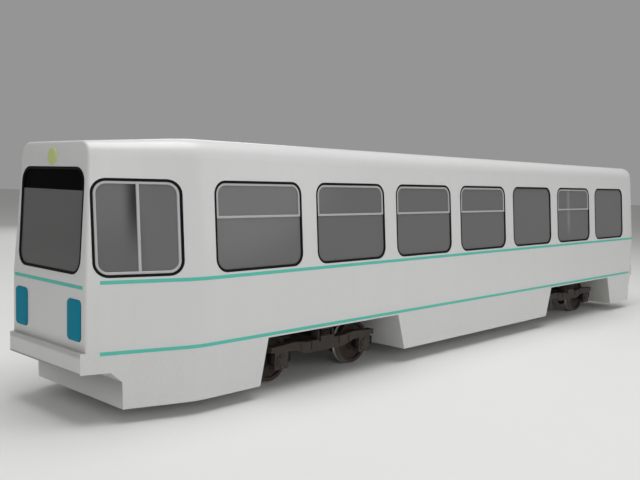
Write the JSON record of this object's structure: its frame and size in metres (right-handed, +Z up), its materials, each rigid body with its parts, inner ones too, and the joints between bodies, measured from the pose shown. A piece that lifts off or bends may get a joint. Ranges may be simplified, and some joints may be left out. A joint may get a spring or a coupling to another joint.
{
  "type": "light rail car",
  "caption": "Single-ended light rail car with tapered cab, large side windows, sliding doors on one side, skirts and swivelling bogies.",
  "frame": {"origin": "middle of the car's length and width, level with the wheel flange tips", "axes": "+Y from the cab towards the flat tail, +X towards the side without doors, +Z up"},
  "size_m": [2.65, 14.6603, 3.385],
  "materials": {
    "body_paint": "satin pale grey",
    "roof_paint": "satin light grey",
    "glass": "tinted grey",
    "black_panel": "gloss black",
    "headlight_glass": "ribbed pale yellow",
    "lamp_blue": "gloss blue-green",
    "tail_red": "gloss red",
    "inner_panel": "matte pale grey",
    "floor_grey": "ribbed dark grey",
    "seat_blue": "woven blue-green",
    "rail_steel": "brushed",
    "bogie_black": "dusty black",
    "wheel_steel": "worn steel"
  },
  "bodies": {
    "car": {"cab_bulkhead": "inner_panel", "destination_panel": "black_panel", "driver_desk": "inner_panel", "driver_seat": "seat_blue", "floor": "floor_grey", "front_bumper": "body_paint", "front_doorway": "body_paint", "front_panel": "body_paint", "front_skirt": "body_paint", "grab_rails": "rail_steel", "headlight": "headlight_glass", "left_cab_window": "glass", "left_lamp_panel": "lamp_blue", "left_seats": "seat_blue", "left_side_wall": "body_paint", "left_tail_lamp": "tail_red", "left_window_1": "glass", "left_window_2": "glass", "left_window_3": "glass", "left_window_4": "glass", "left_window_5": "glass", "left_window_6": "glass", "left_window_7": "glass", "middle_skirt": "body_paint", "rear_bumper": "body_paint", "rear_doorway": "body_paint", "rear_panel": "body_paint", "rear_skirt": "body_paint", "rear_window": "glass", "right_cab_window": "glass", "right_lamp_panel": "lamp_blue", "right_seats": "seat_blue", "right_tail_lamp": "tail_red", "right_wall_front": "body_paint", "right_wall_middle": "body_paint", "right_wall_rear": "body_paint", "right_window_1": "glass", "right_window_3": "glass", "right_window_4": "glass", "right_window_5": "glass", "right_window_7": "glass", "roof": "roof_paint", "windscreen": "glass"},
    "front_bogie": {"front_bogie_frame": "bogie_black"},
    "rear_bogie": {"rear_bogie_frame": "bogie_black"},
    "front_leaf_a": {"front_door_a": "body_paint", "front_door_a_pane": "glass"},
    "front_leaf_b": {"front_door_b": "body_paint", "front_door_b_pane": "glass"},
    "rear_leaf_a": {"rear_door_a": "body_paint", "rear_door_a_pane": "glass"},
    "rear_leaf_b": {"rear_door_b": "body_paint", "rear_door_b_pane": "glass"},
    "axle_1": {"wheelset_1": "wheel_steel"},
    "axle_2": {"wheelset_2": "wheel_steel"},
    "axle_3": {"wheelset_3": "wheel_steel"},
    "axle_4": {"wheelset_4": "wheel_steel"}
  },
  "joints": [
    {"name": "front_bogie_swivel", "type": "hinge", "parent": "car", "child": "front_bogie", "pos_m": [0, -3.415, 0.8], "axis": [0, 0, 1], "range_deg": [-10, 10]},
    {"name": "wheelset_1_spin", "type": "hinge", "parent": "front_bogie", "child": "axle_1", "pos_m": [0, -4.315, 0.366], "axis": [1, 0, 0], "continuous": true},
    {"name": "wheelset_2_spin", "type": "hinge", "parent": "front_bogie", "child": "axle_2", "pos_m": [0, -2.515, 0.366], "axis": [1, 0, 0], "continuous": true},
    {"name": "rear_bogie_swivel", "type": "hinge", "parent": "car", "child": "rear_bogie", "pos_m": [0, 4.555, 0.8], "axis": [0, 0, 1], "range_deg": [-10, 10]},
    {"name": "wheelset_3_spin", "type": "hinge", "parent": "rear_bogie", "child": "axle_3", "pos_m": [0, 3.655, 0.366], "axis": [1, 0, 0], "continuous": true},
    {"name": "wheelset_4_spin", "type": "hinge", "parent": "rear_bogie", "child": "axle_4", "pos_m": [0, 5.455, 0.366], "axis": [1, 0, 0], "continuous": true},
    {"name": "front_door_a_slide", "type": "slide", "parent": "car", "child": "front_leaf_a", "axis": [0, -1, 0], "range_m": [0, 0.64]},
    {"name": "front_door_b_slide", "type": "slide", "parent": "car", "child": "front_leaf_b", "axis": [0, 1, 0], "range_m": [0, 0.64]},
    {"name": "rear_door_a_slide", "type": "slide", "parent": "car", "child": "rear_leaf_a", "axis": [0, -1, 0], "range_m": [0, 0.64]},
    {"name": "rear_door_b_slide", "type": "slide", "parent": "car", "child": "rear_leaf_b", "axis": [0, 1, 0], "range_m": [0, 0.64]}
  ],
  "couplings": [
    {"joint": "front_door_b_slide", "follows": "front_door_a_slide", "ratio": 1},
    {"joint": "rear_door_b_slide", "follows": "rear_door_a_slide", "ratio": 1}
  ]
}
